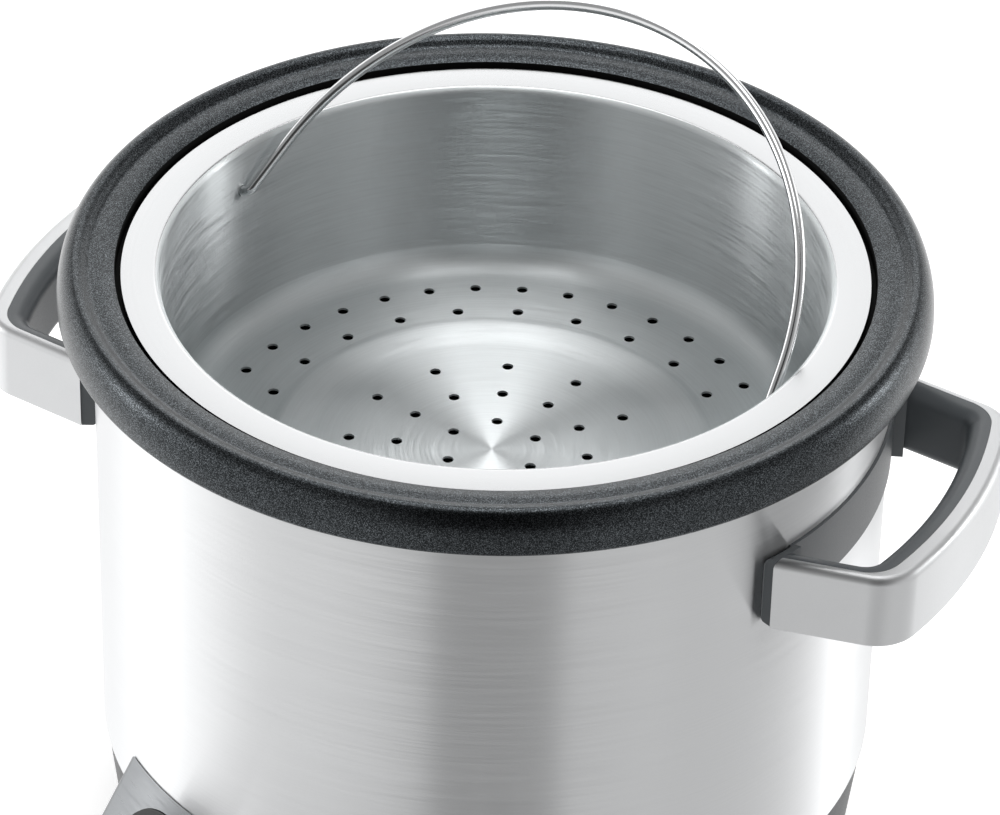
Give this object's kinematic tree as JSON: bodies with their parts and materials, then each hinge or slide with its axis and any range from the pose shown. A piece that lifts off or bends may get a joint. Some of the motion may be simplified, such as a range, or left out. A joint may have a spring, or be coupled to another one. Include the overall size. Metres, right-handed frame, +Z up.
{
  "type": "multicooker",
  "caption": "Round electric multicooker with a lift-out bowl, a hanging perforated steam basket with a wire bail, two loop handles and a flared front control panel.",
  "frame": {"origin": "on the pot's axis at the height of the table", "axes": "+Z up, front with its control panel faces -Y, +X to the right seen from the front"},
  "size_m": [0.3658, 0.3312, 0.3009],
  "materials": {
    "shell_steel": "brushed round the body",
    "basket_steel": "spun and brushed",
    "wire_steel": "bright drawn wire",
    "handle_metal": "satin cast metal",
    "handle_lining": "satin moulded",
    "bowl_coating": "dark non-stick coating with a metallic fleck",
    "base_plastic": "fine moulded texture",
    "foot_rubber": "matt",
    "cast_aluminium": "cast and machined",
    "plated_sheet": "plain plated sheet",
    "element_steel": "dull heated steel",
    "screw_steel": "plated",
    "display_pane": "smoked clear pane",
    "display_black": "display module",
    "circuit_board": "board laminate",
    "component_black": "moulded",
    "terminal_green": "moulded",
    "core_steel": "lacquered core",
    "fuse_body": "plated",
    "bezel_black": "black with a polished rim",
    "dial_metal": "turned and satin",
    "button_plastic": "silver lacquer",
    "socket_plastic": "moulded",
    "pin_brass": "plated"
  },
  "bodies": {
    "housing": {"outer_shell": "shell_steel", "base_moulding": "base_plastic", "base_cover": "base_plastic", "rubber_feet": "foot_rubber", "cover_screws": "screw_steel", "top_collar": "base_plastic", "inner_well": "plated_sheet", "heater_plate": "cast_aluminium", "heating_element": "element_steel", "heater_screws": "screw_steel", "sensor_guide": "plated_sheet", "sensor_spring": "screw_steel", "thermal_fuse": "fuse_body", "fuse_clip": "plated_sheet", "heat_shield": "plated_sheet", "support_posts": "plated_sheet", "post_screws": "screw_steel", "handle_cover_left": "handle_metal", "handle_cover_right": "handle_metal", "handle_frame_left": "handle_lining", "handle_frame_right": "handle_lining", "handle_screws": "screw_steel", "control_panel_plate": "shell_steel", "panel_housing": "base_plastic", "panel_screws": "screw_steel", "display_window": "display_pane", "display_module": "display_black", "control_board": "circuit_board", "board_switches": "component_black", "left_dial_bezel": "bezel_black", "right_dial_bezel": "bezel_black", "dial_encoders": "component_black", "inlet_housing": "base_plastic", "inlet_screws": "screw_steel", "power_inlet": "socket_plastic", "inlet_pins": "pin_brass", "power_board": "circuit_board", "transformer": "core_steel", "relay": "component_black", "terminal_block": "terminal_green", "capacitor": "component_black", "board_screws": "screw_steel"},
    "bowl": {"cooking_bowl": "bowl_coating"},
    "basket": {"steam_basket": "basket_steel"},
    "bail": {"bail_handle": "wire_steel"},
    "sensor": {"sensor_cap": "cast_aluminium"},
    "programme_dial": {"programme_dial": "dial_metal"},
    "time_dial": {"time_dial": "dial_metal"},
    "start_button": {"start_button": "button_plastic"},
    "stop_button": {"stop_button": "button_plastic"}
  },
  "joints": [
    {"name": "bowl_lift", "type": "slide", "parent": "housing", "child": "bowl", "axis": [0, 0, 1], "range_m": [0, 0.15]},
    {"name": "basket_lift", "type": "slide", "parent": "bowl", "child": "basket", "axis": [0, 0, 1], "range_m": [0, 0.12]},
    {"name": "bail_hinge", "type": "hinge", "parent": "basket", "child": "bail", "pos_m": [0, 0, 0.2228], "axis": [-0.9705, 0.2409, 0], "range_deg": [-163.5, 66.5]},
    {"name": "programme_dial_turn", "type": "hinge", "parent": "housing", "child": "programme_dial", "pos_m": [-0.06902, -0.13605, 0.04895], "axis": [-0.398, -0.7845, 0.4756], "continuous": true},
    {"name": "time_dial_turn", "type": "hinge", "parent": "housing", "child": "time_dial", "pos_m": [0.06902, -0.13605, 0.04895], "axis": [0.398, -0.7845, 0.4756], "continuous": true},
    {"name": "start_button_press", "type": "slide", "parent": "housing", "child": "start_button", "axis": [0, 0.8796, -0.4756], "range_m": [0, 0.001], "stiffness_N_per_m": 400, "springref_m": -0.0008},
    {"name": "stop_button_press", "type": "slide", "parent": "housing", "child": "stop_button", "axis": [0, 0.8796, -0.4756], "range_m": [0, 0.001], "stiffness_N_per_m": 400, "springref_m": -0.0008},
    {"name": "sensor_press", "type": "slide", "parent": "housing", "child": "sensor", "axis": [0, 0, -1], "range_m": [0, 0.0025], "stiffness_N_per_m": 300, "springref_m": -0.003, "deforming": ["sensor_spring"]}
  ]
}
